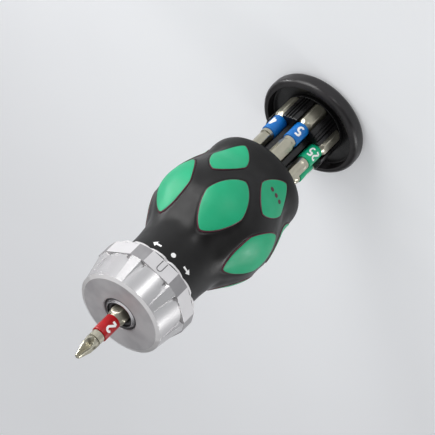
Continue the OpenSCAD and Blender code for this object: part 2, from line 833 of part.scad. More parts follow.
module hex_bit_large() { color(BIT_STEEL) in_pocket(0) hex_bit(hex_large_af); }
module hex_bit_small() { color(BIT_STEEL) in_pocket(1) hex_bit(hex_small_af); }
module lobe_bit_large() { color(BIT_STEEL) in_pocket(5) lobe_bit(lobe_large_r); }
module lobe_bit_small() { color(BIT_STEEL) in_pocket(4) lobe_bit(lobe_small_r); }
module cross_bit_large() { color(BIT_STEEL) in_pocket(3) cross_bit(); }
module hex_band_large() { color(BLUE) in_pocket(0) bit_band(); }
module hex_band_small() { color(BLUE) in_pocket(1) bit_band(); }
module lobe_band_large() { color(GREEN) in_pocket(5) bit_band(); }
module lobe_band_small() { color(GREEN) in_pocket(4) bit_band(); }
module cross_band_large() { color(RED) in_pocket(3) bit_band(); }
module driver_bit() { color(BIT_STEEL) in_socket() rotate([0, 0, 30]) cross_bit(); }
module driver_band() { color(RED) in_socket() bit_band(); }

handle_core();
handle_grip();
grip_pads_front();
grip_pads_rear();
ratchet_housing();
housing_cover();
housing_screws();
rear_bush();
front_bush();
thrust_washer();
pawl_pin();
detent_spring();
selector_snap_ring();
spindle();
spindle_clip();
socket_magnet();
rocker_pawl();
selector_ring();
selector_plunger();
plunger_spring();
magazine_cap();
cap_grip();
magazine_core();
magazine_guide();
guide_o_ring();
guide_screw();
hex_bit_large();
hex_bit_small();
lobe_bit_large();
lobe_bit_small();
cross_bit_large();
hex_band_large();
hex_band_small();
lobe_band_large();
lobe_band_small();
cross_band_large();
driver_bit();
driver_band();
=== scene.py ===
import math

import bmesh
import bpy
from mathutils import Matrix, Vector


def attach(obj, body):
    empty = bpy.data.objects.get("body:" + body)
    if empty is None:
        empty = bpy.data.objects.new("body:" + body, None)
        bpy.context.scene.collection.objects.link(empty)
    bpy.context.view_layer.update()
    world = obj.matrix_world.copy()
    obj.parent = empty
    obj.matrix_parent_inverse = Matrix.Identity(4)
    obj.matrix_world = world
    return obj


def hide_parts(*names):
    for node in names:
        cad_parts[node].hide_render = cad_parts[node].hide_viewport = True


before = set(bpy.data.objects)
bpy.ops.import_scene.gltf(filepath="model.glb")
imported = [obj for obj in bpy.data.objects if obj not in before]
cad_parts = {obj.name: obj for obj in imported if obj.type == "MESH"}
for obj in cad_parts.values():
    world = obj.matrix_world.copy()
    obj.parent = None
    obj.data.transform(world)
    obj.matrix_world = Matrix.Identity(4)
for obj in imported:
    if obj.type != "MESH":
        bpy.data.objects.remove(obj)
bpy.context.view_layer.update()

# Sizes in millimetres, as the CAD has them
MM = 0.001
MOUTH_Z, HANDLE_LEN = 39.5, 61.5
FRONT_Z = MOUTH_Z + HANDLE_LEN
BELLY_R = 23.1
# Share of the handle's length from its mouth, and radius as a share of the belly's
SHAPE = [
    (0, .757), (.011, .797), (.032, .826), (.068, .838), (.126, .833), (.18, .85),
    (.271, .923), (.361, .98), (.442, 1), (.514, .974), (.587, .902), (.659, .8),
    (.722, .716), (.785, .662), (.839, .640), (.9, .634), (1, .632),
]
PAD_COUNT = 6
PAD_POWER = 1.45
# Height of a pad's middle, its width and its length
FRONT_PAD = (MOUTH_Z + 0.528 * HANDLE_LEN, 16.0, 24.0)
REAR_PAD = (MOUTH_Z + 0.239 * HANDLE_LEN, 14.0, 19.0)
RING_Z, COLLAR_Z, SHOULDER_Z, FACE_Z = 101.3, 103.0, 108.9, 119.5
RIB_COUNT = 7
BIT_CIRCLE_R, BIT_SEAT_Z, BIT_LIFT = 9.5, 5.0, 0.05
BIT_AF, BIT_LEN, SHANK_LEN = 6.35, 31.0, 11.2
BAND_Z, BAND_LEN, BAND_R = 11.35, 7.8, 2.9
NECK_R, COLLAR_R, COLLAR_END = 2.1, 2.5, 20.65
DRIVER_Z = 111.45
POCKET_COUNT = 6
FIRST_POCKET = 274


def polar(r, deg):
    return r * math.cos(math.radians(deg)), r * math.sin(math.radians(deg))


def smooth(a, b, x):
    t = min(max((x - a) / (b - a), 0), 1)
    return t * t * (3 - 2 * t)


# Colours are written as they look on screen
def linear(rgb):
    out = []
    for c in rgb:
        c /= 255
        out.append(c / 12.92 if c <= 0.04045 else ((c + 0.055) / 1.055) ** 2.4)
    return (*out, 1)


def shade(rgb, share):
    return tuple(int(c * share) for c in rgb)


NOISE_ROUGHNESS = 0.55
COAT_ROUGHNESS = 0.25
# Between these two values of the noise a paint goes from one look to the other
TINT_FROM, TINT_TO = 0.4, 0.65
GLOSS_FROM, GLOSS_TO = 0.35, 0.65


class Paint:
    """A procedural material, made up step by step from object coordinates"""

    def __init__(self, name, rgb, rough, metal=0.0, coat=0.0, spec=0.5):
        self.mat = bpy.data.materials.new(name)
        self.mat.use_nodes = True
        self.tree = self.mat.node_tree
        self.bsdf = self.tree.nodes["Principled BSDF"]
        self.rgb, self.rough = rgb, rough
        self.bsdf.inputs["Base Color"].default_value = linear(rgb)
        self.bsdf.inputs["Roughness"].default_value = rough
        self.bsdf.inputs["Metallic"].default_value = metal
        self.bsdf.inputs["Coat Weight"].default_value = coat
        self.bsdf.inputs["Coat Roughness"].default_value = COAT_ROUGHNESS
        self.bsdf.inputs["Specular IOR Level"].default_value = spec
        self.place = self.node("ShaderNodeTexCoord").outputs["Object"]

    def node(self, kind, **values):
        n = self.tree.nodes.new(kind)
        for key, value in values.items():
            setattr(n, key, value)
        return n

    def link(self, a, b):
        self.tree.links.new(a, b)

    def noise(self, scale, detail=3.0, stretch=(1, 1, 1)):
        move = self.node("ShaderNodeMapping")
        move.inputs["Scale"].default_value = stretch
        self.link(self.place, move.inputs["Vector"])
        n = self.node("ShaderNodeTexNoise")
        n.inputs["Scale"].default_value = scale
        n.inputs["Detail"].default_value = detail
        n.inputs["Roughness"].default_value = NOISE_ROUGHNESS
        self.link(move.outputs["Vector"], n.inputs["Vector"])
        return n.outputs["Fac"]

    def grey(self, fac, start, end, low=0.0, high=1.0):
        """Greys that run from low at the value start to high at the value end"""
        r = self.node("ShaderNodeValToRGB")
        for e, at, level in zip(r.color_ramp.elements, (start, end), (low, high)):
            e.position = at
            e.color = (level, level, level, 1)
        self.link(fac, r.inputs["Fac"])
        return r.outputs["Color"]

    def tint(self, other, scale, detail=3.0):
        """Blotches of a second shade of the colour"""
        m = self.node("ShaderNodeMix", data_type="RGBA")
        m.inputs["A"].default_value = linear(self.rgb)
        m.inputs["B"].default_value = linear(other)
        self.link(self.grey(self.noise(scale, detail), TINT_FROM, TINT_TO), m.inputs["Factor"])
        self.link(m.outputs["Result"], self.bsdf.inputs["Base Color"])

    def gloss(self, spread, scale):
        """Roughness that wanders round its middle value"""
        level = self.grey(self.noise(scale), GLOSS_FROM, GLOSS_TO, self.rough - spread, self.rough + spread)
        self.link(level, self.bsdf.inputs["Roughness"])

    def relief(self, height, fac):
        """Bumps of that height in millimetres"""
        b = self.node("ShaderNodeBump")
        b.inputs["Distance"].default_value = height * MM
        b.inputs["Strength"].default_value = 1.0
        self.link(fac, b.inputs["Height"])
        self.link(b.outputs["Normal"], self.bsdf.inputs["Normal"])

    def bump(self, height, scale, detail=3.0, stretch=(1, 1, 1)):
        """Grain of that height in millimetres"""
        self.relief(height, self.noise(scale, detail, stretch))

    def turning(self, height, pitch):
        """Fine lathe lines, as rings round the Z axis on a face"""
        split = self.node("ShaderNodeSeparateXYZ")
        self.link(self.place, split.inputs[0])
        flat = self.node("ShaderNodeCombineXYZ")
        self.link(split.outputs[0], flat.inputs[0])
        self.link(split.outputs[1], flat.inputs[1])
        size = self.node("ShaderNodeVectorMath", operation="LENGTH")
        self.link(flat.outputs[0], size.inputs[0])
        n = self.node("ShaderNodeTexNoise", noise_dimensions="1D")
        n.inputs["Scale"].default_value = 1 / (pitch * MM)
        n.inputs["Detail"].default_value = 2
        self.link(size.outputs["Value"], n.inputs["W"])
        self.relief(height, n.outputs["Fac"])


# Points of a mesh, in metres, that lie closer than this are one
WELD, THINNEST = 1e-7, 1e-8


def add_mesh(name, verts, faces, materials, faces_mat=None, body="handle", slot=None, replaces=(),
             crisp=30, bevel=0.0, bevel_angle=35, segments=2):
    """A mesh piece from points in millimetres, riding on a CAD body"""
    me = bpy.data.meshes.new(name)
    me.from_pydata([(x * MM, y * MM, z * MM) for x, y, z in verts], [], faces)
    for m in materials:
        me.materials.append(m)
    if faces_mat:
        me.polygons.foreach_set("material_index", faces_mat)
    bm = bmesh.new()
    bm.from_mesh(me)
    bmesh.ops.remove_doubles(bm, verts=bm.verts, dist=WELD)
    bmesh.ops.dissolve_degenerate(bm, edges=bm.edges, dist=THINNEST)
    bmesh.ops.recalc_face_normals(bm, faces=bm.faces)
    bm.to_mesh(me)
    bm.free()
    me.polygons.foreach_set("use_smooth", [True] * len(me.polygons))
    if not bevel:
        me.set_sharp_from_angle(angle=math.radians(crisp))
    ob = bpy.data.objects.new(name, me)
    bpy.context.scene.collection.objects.link(ob)
    if bevel:
        m = ob.modifiers.new("edges", "BEVEL")
        m.width = bevel * MM
        m.segments = segments
        m.limit_method = "ANGLE"
        m.angle_limit = math.radians(bevel_angle)
        m.harden_normals = True
        m.use_clamp_overlap = True
        m.miter_outer = "MITER_ARC"
    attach(ob, body)
    if replaces:
        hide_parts(*replaces)


def quads(count, n, closed=True):
    """Faces between rows of n points; where it is closed, the last row is joined to the first"""
    faces = []
    for i in range(count if closed else count - 1):
        a, b = i * n, (i + 1) % count * n
        for j in range(n):
            k = (j + 1) % n
            faces.append((a + j, a + k, b + k, b + j))
    return faces


def skin(lines):
    """Closed outlines of radius and height, at equal steps round the Z axis"""
    steps = len(lines)
    verts = [(*polar(r, 360 * i / steps), z) for i, line in enumerate(lines) for r, z in line]
    return verts, [(a, d, c, b) for a, b, c, d in quads(steps, len(lines[0]))]


def lathe(profile, steps=128):
    """A closed outline of radius and height, turned round the Z axis"""
    return skin([profile] * steps)


def loft(rings):
    """A solid through outlines that have the same number of points"""
    n, count = len(rings[0]), len(rings)
    caps = [tuple(range(n))[::-1], tuple(range((count - 1) * n, count * n))]
    return [p for ring in rings for p in ring], quads(count, n, closed=False) + caps


def oval(rx, ry, degs, cx=0.0, cy=0.0):
    """Points of an ellipse at those angles"""
    return [(cx + rx * math.cos(math.radians(a)), cy + ry * math.sin(math.radians(a))) for a in degs]


def arc(cx, cy, r, a0, a1, steps):
    return oval(r, r, [a0 + (a1 - a0) * i / steps for i in range(steps + 1)], cx, cy)


def dot(r, x=0.0):
    return oval(r, r, range(0, 360, 15), x)


def merged(*meshes):
    """Several vertex and face lists as one"""
    verts, faces = [], []
    for v, f in meshes:
        base = len(verts)
        verts += v
        faces += [tuple(i + base for i in face) for face in f]
    return verts, faces


def placed(mesh, move):
    return [(x + move[0], y + move[1], z + move[2]) for x, y, z in mesh[0]], mesh[1]


# Materials
def black_rubber():
    p = Paint("grip_black", (12, 11, 11), 0.43, spec=0.3)
    p.tint((16, 15, 15), 90, 2)
    p.gloss(0.06, 160)
    p.bump(0.012, 2600, 2)
    return p.mat


def green_pad():
    p = Paint("pad_green", (16, 160, 112), 0.46, spec=0.4)
    p.tint((22, 166, 118), 120, 2)
    p.gloss(0.05, 200)
    p.bump(0.008, 2200, 2)
    return p.mat


def maroon_edge():
    p = Paint("pad_edge", (84, 14, 40), 0.5)
    p.tint((60, 10, 28), 400)
    p.bump(0.01, 1500)
    return p.mat


def silver():
    p = Paint("ring_silver", (204, 202, 203), 0.25, metal=0.88)
    p.tint((208, 207, 207), 60, 2)
    p.gloss(0.012, 90)
    p.bump(0.0004, 3200, 1)
    return p.mat


def turned_grey():
    p = Paint("ring_face", (200, 198, 199), 0.5, metal=0.35)
    p.tint((182, 180, 182), 120, 2)
    p.gloss(0.03, 400)
    p.turning(0.004, 0.18)
    return p.mat


def steel(name, rgb, rough):
    p = Paint(name, rgb, rough, metal=0.9)
    p.tint(shade(rgb, 0.95), 200)
    p.gloss(0.015, 300)
    p.bump(0.0012, 2600, stretch=(1, 1, 0.2))
    return p.mat


def band(name, rgb):
    p = Paint(name, rgb, 0.36, coat=0.08, spec=0.35)
    p.tint(shade(rgb, 0.94), 300)
    p.gloss(0.02, 400)
    p.bump(0.001, 1800)
    return p.mat


def painted_light_satin(name, rgb):
    """Lighter, less metallic chrome with a soft finish, painted light on the ring's broad flats and a painted
    highlight on its edges
    """
    p = Paint(name, rgb, 0.3, metal=0.45)
    p.tint(shade(rgb, 0.97), 60)
    p.gloss(0.012, 300)
    p.bump(0.0006, 2600)
    return p.mat


def plastic(name, rgb, rough, grain=0.008):
    p = Paint(name, rgb, rough, spec=0.45)
    p.tint(tuple(min(int(c * 1.2) + 3, 255) for c in rgb), 150)
    p.gloss(0.06, 240)
    p.bump(grain, 2400)
    return p.mat


GRIP = black_rubber()
GREEN = green_pad()
MAROON = maroon_edge()
SILVER = silver()
FACE = turned_grey()
# Darker steel on the ring's small collar flats: painted shade
SHADED_SMALL_FLAT = steel("ring_small_flat_painted_shade", (164, 162, 163), 0.34)
# Lighter chrome on the ring's broad collar flats: painted light
LIT_WIDE_FLAT = painted_light_satin("ring_wide_flat_painted_light", (222, 220, 221))
# Near-white chrome on the ring's lip and the chamfer at the front of its body: a painted highlight
EDGE_HIGHLIGHT = painted_light_satin("ring_edge_painted_highlight", (230, 228, 228))
HARD_BLACK = plastic("hard_black", (14, 13, 14), 0.3)
CAP_GREY = plastic("cap_grey", (26, 24, 25), 0.36)
SEAL = plastic("seal_rubber", (24, 24, 25), 0.55)
DARK_STEEL = steel("dark_steel", (96, 94, 96), 0.34)
# Light steel on the socket rim's slope: a painted highlight
RIM_HIGHLIGHT_STEEL = steel("rim_steel_painted_highlight", (226, 224, 226), 0.26)
BRIGHT_STEEL = steel("bright_steel", (190, 190, 190), 0.25)
BRONZE = steel("bronze", (170, 132, 74), 0.35)
BIT_STEEL = steel("bit_steel", (186, 182, 165), 0.31)
BAND_BLUE = band("band_blue", (18, 112, 192))
BAND_GREEN = band("band_green", (12, 180, 128))
BAND_RED = band("band_red", (170, 4, 12))
WHITE = plastic("print_white", (240, 240, 238), 0.45, 0.002)
SLOTS = {
    "hard_black": HARD_BLACK, "grip_black": GRIP, "pad_green": GREEN, "cap_grey": CAP_GREY,
    "ring_silver": SILVER, "dark_steel": DARK_STEEL, "bright_steel": BRIGHT_STEEL, "bronze": BRONZE,
    "seal_rubber": SEAL, "bit_steel": BIT_STEEL, "band_blue": BAND_BLUE, "band_green": BAND_GREEN,
    "band_red": BAND_RED,
}


# Handle: one smooth turned form, gently dished between the pads
def slope(i):
    a, b = max(i - 1, 0), min(i + 1, len(SHAPE) - 1)
    return (SHAPE[b][1] - SHAPE[a][1]) / (SHAPE[b][0] - SHAPE[a][0])


def handle_r(z):
    s = min(max((z - MOUTH_Z) / HANDLE_LEN, 0), 1)
    i = max(k for k in range(len(SHAPE) - 1) if SHAPE[k][0] <= s)
    h = SHAPE[i + 1][0] - SHAPE[i][0]
    t = (s - SHAPE[i][0]) / h
    return BELLY_R * (
        SHAPE[i][1] * (1 + 2 * t) * (1 - t) ** 2 + h * slope(i) * t * (1 - t) ** 2
        + SHAPE[i + 1][1] * t * t * (3 - 2 * t) - h * slope(i + 1) * t * t * (1 - t)
    )


# Group, azimuth, height of the middle, width and length of each pad
FRONT_PAD_TURN, REAR_PAD_TURN = 270, 300
PADS = (
    [("front", FRONT_PAD_TURN + 360 * i / PAD_COUNT, *FRONT_PAD) for i in range(PAD_COUNT)]
    + [("rear", REAR_PAD_TURN + 360 * i / PAD_COUNT, *REAR_PAD) for i in range(PAD_COUNT)]
)
# Beyond this cosine of the angle from its middle a pad is out of reach
REACH_LIMIT, OUT_OF_REACH = 0.3, 9.0
# Depth of the dish, and the shares of a pad's outline between which it sets in
DISH, DISH_FROM, DISH_TO = 0.8, 0.98, 1.75
# Depth and half width of the seam round a pad, and its share of the outline
SEAM, SEAM_HALF, SEAM_AT = 0.2, 0.035, 1.02
# Distances from the mouth and from the front edge over which the dish fades in
REAR_FADE, FRONT_FADE = (4, 12), (19, 11)
GRIP_STEPS, GRIP_ROWS = 360, 150
GRIP_WALL, MOUTH_LIP, FRONT_EDGE = 2.0, 0.5, 0.6
INNER_Z = (FRONT_Z, FRONT_Z - 12, FRONT_Z - 24, FRONT_Z - 36, MOUTH_Z + 8)


def pad_reach(pad, deg, z, r):
    """How far out of a pad's middle a point is, as a share of its outline"""
    _, middle, height, width, length = pad
    turn = math.radians(deg - middle)
    if math.cos(turn) < REACH_LIMIT:
        return OUT_OF_REACH
    x, y = abs(r * math.sin(turn)) / (width / 2), abs(z - height) / (length / 2)
    return (x ** PAD_POWER + y ** PAD_POWER) ** (1 / PAD_POWER)


def grip_r(deg, z):
    r = handle_r(z)
    reach = [pad_reach(p, deg, z, r) for p in PADS]
    rear = smooth(MOUTH_Z + REAR_FADE[0], MOUTH_Z + REAR_FADE[1], z)
    dish = DISH * rear * (1 - smooth(FRONT_Z - FRONT_FADE[0], FRONT_Z - FRONT_FADE[1], z))
    for near in reach:
        dish *= smooth(DISH_FROM, DISH_TO, near)
    return r - dish - SEAM * (1 - smooth(0.0, SEAM_HALF, abs(min(reach) - SEAM_AT)))


def build_grip():
    zs = [MOUTH_Z + HANDLE_LEN * k / GRIP_ROWS for k in range(1, GRIP_ROWS)]
    mouth, front = handle_r(MOUTH_Z), handle_r(FRONT_Z)
    start = [(mouth - GRIP_WALL, MOUTH_Z), (mouth - MOUTH_LIP, MOUTH_Z)]
    end = [(front - 0.05, FRONT_Z - 0.2), (front - 0.2, FRONT_Z - 0.05), (front - FRONT_EDGE, FRONT_Z)]
    end += [(handle_r(z) - GRIP_WALL, z) for z in INNER_Z]
    lines = [start + [(grip_r(360 * i / GRIP_STEPS, z), z) for z in zs] + end for i in range(GRIP_STEPS)]
    verts, faces = skin(lines)
    add_mesh("grip_skin", verts, faces, [GRIP], body="handle", slot="grip_black",
             replaces=("handle_grip",), crisp=50)


PAD_STEPS = 96
# Share of the outline and height over the grip, from the middle outwards and down
PAD_ROWS = [(0.0, .42), (.2, .42), (.4, .41), (.6, .40), (.75, .38), (.86, .36), (.93, .34), (.962, .28),
            (.982, .2), (1.0, .06), (1.004, -.06), (1.004, -.35), (.96, -.9), (.5, -.95), (0.0, -.95)]
# From this row to that one the pad shows its dark red edge
MAROON_FROM, MAROON_TO = 7, 11


def pad_outline(share, width, length):
    """Points of a rounded diamond"""
    power = 2 / PAD_POWER
    for i in range(PAD_STEPS):
        c, s = math.cos(2 * math.pi * i / PAD_STEPS), math.sin(2 * math.pi * i / PAD_STEPS)
        yield (share * width / 2 * math.copysign(abs(c) ** power, c),
               share * length / 2 * math.copysign(abs(s) ** power, s))


def build_pads(kind, node):
    pieces, mats = [], []
    for group, turn, height, width, length in PADS:
        if group != kind:
            continue
        verts = []
        for share, lift in PAD_ROWS:
            for x, y in pad_outline(share, width, length):
                r = handle_r(height + y)
                verts.append((*polar(r + lift, turn + math.degrees(math.asin(x / r))), height + y))
        pieces.append((verts, quads(len(PAD_ROWS), PAD_STEPS, closed=False)))
        for k in range(len(PAD_ROWS) - 1):
            mats += [1 if MAROON_FROM <= k <= MAROON_TO else 0] * PAD_STEPS
    verts, faces = merged(*pieces)
    add_mesh("pads_" + kind, verts, faces, [GREEN, MAROON], mats, body="handle",
             slot="pad_green", replaces=(node,), crisp=50)


# Marks that lie on turned surfaces, cut from flat outlines and wrapped round them
WRAP_STEP = 0.35


def wrapped(outlines, radius, turn, z0, lift, depth=0.25):
    """Flat outlines in millimetres (x round the axis, y along it) laid on a turned surface"""
    out = []
    for outline in outlines:
        bm = bmesh.new()
        bm.faces.new([bm.verts.new((x, y, 0)) for x, y in outline])
        for way, normal in enumerate(((1, 0, 0), (0, 1, 0))):
            at = min(p[way] for p in outline) + WRAP_STEP
            end = max(p[way] for p in outline)
            while at < end:
                geom = bm.verts[:] + bm.edges[:] + bm.faces[:]
                bmesh.ops.bisect_plane(bm, geom=geom, plane_co=Vector(normal) * at, plane_no=normal, dist=1e-6)
                at += WRAP_STEP
        bmesh.ops.triangulate(bm, faces=bm.faces)
        bm.verts.index_update()
        flat = [(v.co.x, v.co.y) for v in bm.verts]
        tris = [[v.index for v in f.verts] for f in bm.faces]
        rim = [(e.verts[0].index, e.verts[1].index) for e in bm.edges if len(e.link_faces) == 1]
        bm.free()
        verts, n = [], len(flat)
        for level in (lift, lift - depth):
            for x, y in flat:
                r = radius(z0 + y)
                verts.append((*polar(r + level, turn + math.degrees(x / r)), z0 + y))
        faces = [tuple(t) for t in tris]
        faces += [tuple(i + n for i in reversed(t)) for t in tris]
        faces += [(a, b, b + n, a + n) for a, b in rim]
        out.append((verts, faces))
    return merged(*out)


def stroke(points, w):
    """A bent line of width w as one outline"""
    left, right = [], []
    for i, (x, y) in enumerate(points):
        x0, y0 = points[max(i - 1, 0)]
        x1, y1 = points[min(i + 1, len(points) - 1)]
        size = math.hypot(x1 - x0, y1 - y0)
        nx, ny = -(y1 - y0) / size * w / 2, (x1 - x0) / size * w / 2
        left.append((x + nx, y + ny))
        right.append((x - nx, y - ny))
    return left + right[::-1]


def digit(d, h, w, line):
    """A plain figure as bent lines, h tall and w wide about the origin"""
    x, y = w / 2, h / 2
    shapes = {
        "0": [oval(x, y, range(90, 451, 20))],
        "2": [oval(x, y * 0.55, range(165, -31, -20), cy=y * 0.45) + [(-x, -y)], [(-x, -y), (x, -y)]],
        "3": [oval(x, y * 0.5, range(150, -91, -24), cy=y * 0.5),
              oval(x, y * 0.5, range(90, -151, -24), cy=-y * 0.5)],
        "4": [[(x * 0.4, -y), (x * 0.4, y)], [(x * 0.2, y * 0.9), (-x, -y * 0.3)],
              [(-x * 1.1, -y * 0.4), (x, -y * 0.4)]],
        "5": [[(x, y), (-x * 0.8, y)], [(-x * 0.8, y), (-x * 0.9, 0.1 * y)],
              [(-x * 0.9, 0.1 * y)] + oval(x, y * 0.6, range(110, -151, -24), cy=-y * 0.4)],
    }
    return [stroke(s, line) for s in shapes[d]]


NECK_MARK_Z, NECK_DOT_R, NECK_MARK_LIFT = 97.0, 0.9, 0.07
# Azimuths of the left arrow, the dot and the right arrow
NECK_TURNS = (298, 271, 244)
ARROW = [(-1.7, -.35), (.3, -.35), (.3, -1.15), (1.8, 0), (.3, 1.15), (.3, .35), (-1.7, .35)]
PAD_DOT_R, PAD_DOT_PITCH, PAD_DOT_LIFT = 0.85, 2.6, 0.46
PAD_DOTS_TURN, PAD_DOTS_BACK = 240, 2.0


def build_neck_marks():
    """Two arrows with a dot between them, which read with the blade downwards"""
    shapes = ([(-x, y) for x, y in ARROW][::-1], dot(NECK_DOT_R), ARROW)
    pieces = []
    for shape, turn in zip(shapes, NECK_TURNS):
        turned = [(-x, -y) for x, y in shape]
        pieces.append(wrapped([turned], handle_r, turn, NECK_MARK_Z, NECK_MARK_LIFT))
    verts, faces = merged(*pieces)
    add_mesh("neck_marks", verts, faces, [WHITE], body="handle", slot="grip_black", crisp=40)


def build_pad_marks():
    """Three plain dots in a row on one rear pad"""
    shapes = [dot(PAD_DOT_R, x) for x in (-PAD_DOT_PITCH, 0, PAD_DOT_PITCH)]
    verts, faces = wrapped(shapes, handle_r, PAD_DOTS_TURN, REAR_PAD[0] - PAD_DOTS_BACK, PAD_DOT_LIFT)
    add_mesh("pad_marks", verts, faces, [MAROON], body="handle", slot="pad_green", crisp=40)


# Selector ring
SECTOR = 360 / RIB_COUNT
RING_TURN = 270 + SECTOR / 2
BIG_HALF = 17.3
SMALL_HALF = SECTOR / 2 - BIG_HALF
COLLAR_CORNER = 19.1
BIG_FLAT = COLLAR_CORNER * math.cos(math.radians(BIG_HALF))
SMALL_FLAT = COLLAR_CORNER * math.cos(math.radians(SMALL_HALF))
PANEL_REAR, PANEL_FRONT = BIG_FLAT - 0.28, 16.6
BODY_END = FACE_Z - 0.6
# Half widths of a rib's top at the shoulder and at the front, and how much wider its foot is
RIB_REAR, RIB_FRONT, FOOT_REAR, FOOT_FRONT = 1.95, 1.35, 0.55, 0.05
# Depth of the pocket at each rear corner of a panel, and how fast it runs out
POCKET_DEPTH, POCKET_FROM, POCKET_FADE = 1.0, 0.72, 3.5
LIP_R, LIP_NOTCH = 17.7, 0.8
GROOVE_R, REAR_BORE_R, SOCKET_HOLE_R, FACE_THICK = 16.9, 13.6, 6.7, 3.2
COLLAR_CHAMFER = 0.3
BODY_ROWS = 8
# The columns of one sector, from a rib's middle to the next one's: kind and share across
COLUMNS = (
    [("rib", 0.0), ("rib", 1.0), ("foot", 0.0)]
    + [("panel", k / 16) for k in range(1, 16)]
    + [("foot", 1.0), ("rib", -1.0)]
)
# The first and the last two columns of a sector lie on the small flats
SMALL_COLUMNS = (0, 1, len(COLUMNS) - 2, len(COLUMNS) - 1)


def body_point(kind, share, t):
    """Angle from the sector's start and radius, t from the shoulder to the front"""
    panel = PANEL_REAR + (PANEL_FRONT - PANEL_REAR) * t
    top_half = RIB_REAR + (RIB_FRONT - RIB_REAR) * t
    foot_half = top_half + FOOT_REAR * (1 - t) + FOOT_FRONT
    rib_x = SMALL_FLAT - 0.05 + (PANEL_FRONT + 0.02 - SMALL_FLAT + 0.05) * t
    foot = math.degrees(math.asin(foot_half / panel))
    if kind == "rib":
        deg = math.degrees(math.atan2(top_half, rib_x)) * abs(share)
        return (deg if share >= 0 else SECTOR - deg), math.hypot(rib_x, top_half * abs(share))
    if kind == "foot":
        return (foot if share == 0 else SECTOR - foot), panel
    pocket = POCKET_DEPTH * smooth(POCKET_FROM, 1.0, abs(2 * share - 1)) * max(0, 1 - POCKET_FADE * t)
    return foot + (SECTOR - 2 * foot) * share, panel - pocket


def collar_point(kind, share):
    """Angle and radius on the collar, whose flats are broad and small by turns"""
    if kind == "rib":
        deg = SMALL_HALF * abs(share) * 0.5
        return (deg if share >= 0 else SECTOR - deg), SMALL_FLAT / math.cos(math.radians(deg))
    if kind == "foot":
        return (SMALL_HALF if share == 0 else SECTOR - SMALL_HALF), COLLAR_CORNER
    deg = SMALL_HALF + (SECTOR - 2 * SMALL_HALF) * share
    return deg, BIG_FLAT / math.cos(math.radians(deg - SECTOR / 2))


def ring_row(z, point):
    """One row of the ring's points, where point gives a column's angle and radius"""
    out = []
    for k in range(RIB_COUNT):
        for kind, share in COLUMNS:
            deg, r = point(kind, share)
            out.append((*polar(r, RING_TURN + k * SECTOR + deg), z))
    return out


def round_row(r, z):
    return ring_row(z, lambda kind, share: (body_point(kind, share, 1.0)[0], r))


def lip_row(r, z):
    """A circle with a notch at the middle of each flat"""
    def point(kind, share):
        deg = collar_point(kind, share)[0]
        return deg, r - LIP_NOTCH * (0.5 + 0.5 * math.cos(math.radians(deg * RIB_COUNT * 2))) ** 4
    return ring_row(z, point)


def collar_row(z, shrink=0.0):
    def point(kind, share):
        deg, r = collar_point(kind, share)
        return deg, r - shrink
    return ring_row(z, point)


def body_row(t):
    return ring_row(SHOULDER_Z + (BODY_END - SHOULDER_Z) * t, lambda kind, share: body_point(kind, share, t))


def build_ring():
    """The ring, as rows of points with the look of the faces between each row and the next"""
    collar = COLLAR_Z + COLLAR_CHAMFER
    # Rows of the look "edge" are painted near white as a highlight, on the lip behind the collar and on the
    # front chamfer
    rows = [
        (round_row(REAR_BORE_R, RING_Z), "silver"),
        (lip_row(LIP_R - 0.3, RING_Z), "edge"), (lip_row(LIP_R, RING_Z + 0.2), "edge"),
        (lip_row(LIP_R, RING_Z + 1.0), "silver"),
        (round_row(GROOVE_R, RING_Z + 1.1), "silver"), (round_row(GROOVE_R, RING_Z + 1.3), "silver"),
        (collar_row(COLLAR_Z, COLLAR_CHAMFER), "flat"), (collar_row(collar), "flat"),
    ]
    for t, look in ((0.35, "flat"), (0.7, "flat"), (1.0, "silver")):
        rows.append((collar_row(collar + (SHOULDER_Z - collar) * t), look))
    rows += [(body_row(k / BODY_ROWS), "silver") for k in range(BODY_ROWS)] + [(body_row(1.0), "edge")]
    rows += [(round_row(r, FACE_Z), "face") for r in (15.15, 14.9, 12, 9.5, 7.05)]
    rows += [(round_row(SOCKET_HOLE_R, FACE_Z - 0.3), "face"),
             (round_row(SOCKET_HOLE_R, FACE_Z - FACE_THICK), "silver"),
             (round_row(REAR_BORE_R, FACE_Z - FACE_THICK), "silver")]
    slots = {"silver": 0, "face": 1, "edge": 3}
    mats = []
    for points, look in rows:
        for j in range(len(points)):
            # Small flats take the darker steel, painted shade; the broad flats take the lighter chrome, painted
            # light
            flat = 2 if j % len(COLUMNS) in SMALL_COLUMNS else 4
            mats.append(slots.get(look, flat))
    verts = [p for points, _ in rows for p in points]
    faces = quads(len(rows), len(rows[0][0]))
    add_mesh("selector_body", verts, faces, [SILVER, FACE, SHADED_SMALL_FLAT, EDGE_HIGHLIGHT, LIT_WIDE_FLAT], mats, body="selector",
             slot="ring_silver", replaces=("selector_ring",), bevel=0.16, bevel_angle=18, segments=3)


MARK_WIDTH, MARK_LENGTH, MARK_LINE, MARK_BACK = 2.0, 3.3, 0.3, 2.05
MARK_OUT, MARK_IN = 0.03, -0.3


def build_index_mark():
    """A shallow U-shaped line on the broad flat next to the middle mark"""
    bend = oval(MARK_WIDTH / 2, MARK_WIDTH / 2, range(0, 181, 15))
    outline = stroke([(MARK_WIDTH / 2, -MARK_LENGTH)] + bend + [(-MARK_WIDTH / 2, -MARK_LENGTH)], MARK_LINE)
    z0 = SHOULDER_Z - MARK_BACK
    verts = [(x, -(BIG_FLAT + out), z0 + y) for out in (MARK_OUT, MARK_IN) for x, y in outline]
    faces, n = [], len(outline)
    for i in range(n // 2 - 1):
        a, b, c, d = i, i + 1, n - 2 - i, n - 1 - i
        faces.append((a, b, c, d))
        faces.append((a + n, d + n, c + n, b + n))
    for i in range(n):
        j = (i + 1) % n
        faces.append((i, i + n, j + n, j))
    add_mesh("index_mark", verts, faces, [DARK_STEEL], body="selector", slot="dark_steel", crisp=40)


